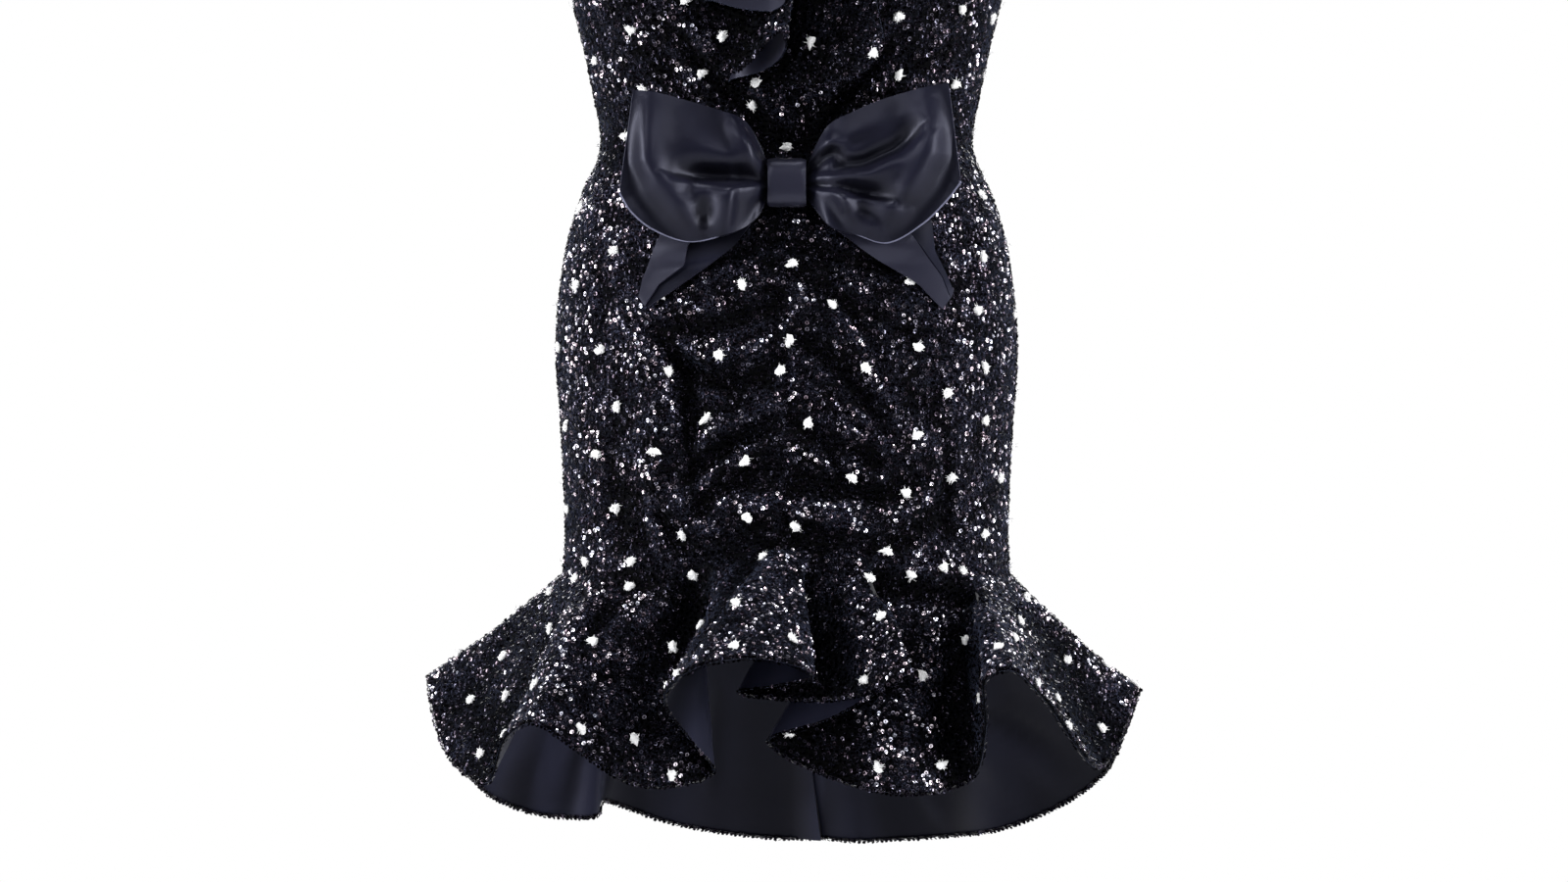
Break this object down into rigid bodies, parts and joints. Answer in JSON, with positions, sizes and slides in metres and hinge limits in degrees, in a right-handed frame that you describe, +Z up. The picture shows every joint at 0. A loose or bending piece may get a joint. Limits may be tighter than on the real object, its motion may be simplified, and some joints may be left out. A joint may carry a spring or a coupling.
{
  "type": "bodycon dress",
  "caption": "Short sleeveless fitted dress in sequinned stretch cloth, ruched down the front, with a satin bow at the waist and a fluted, satin-lined flounce.",
  "frame": {"origin": "middle of the shoulder line, on the garment's centre plane, where the shoulders that hold it up would be", "axes": "+Z up, -Y out of the garment's front, +X to the viewer's right as seen from the front"},
  "size_m": [0.5441, 0.454, 0.9462],
  "materials": {
    "sequin_cloth": "black stretch cloth covered with small dark sequins and scattered white tufts",
    "satin_lining": "flat dark navy satin",
    "bow_satin": "smooth navy satin with a soft sheen"
  },
  "bodies": {
    "root": {"front_left": "sequin_cloth", "front_right": "sequin_cloth", "back_left": "sequin_cloth", "back_right": "sequin_cloth", "flounce_front": "sequin_cloth", "flounce_back_left": "sequin_cloth", "flounce_back_right": "sequin_cloth", "flounce_front_lining": "satin_lining", "flounce_back_left_lining": "satin_lining", "flounce_back_right_lining": "satin_lining", "cascade_ruffle": "sequin_cloth", "bow_loop_left": "bow_satin", "bow_loop_right": "bow_satin", "bow_knot": "bow_satin", "bow_tail_left": "bow_satin", "bow_tail_right": "bow_satin"}
  },
  "joints": []
}
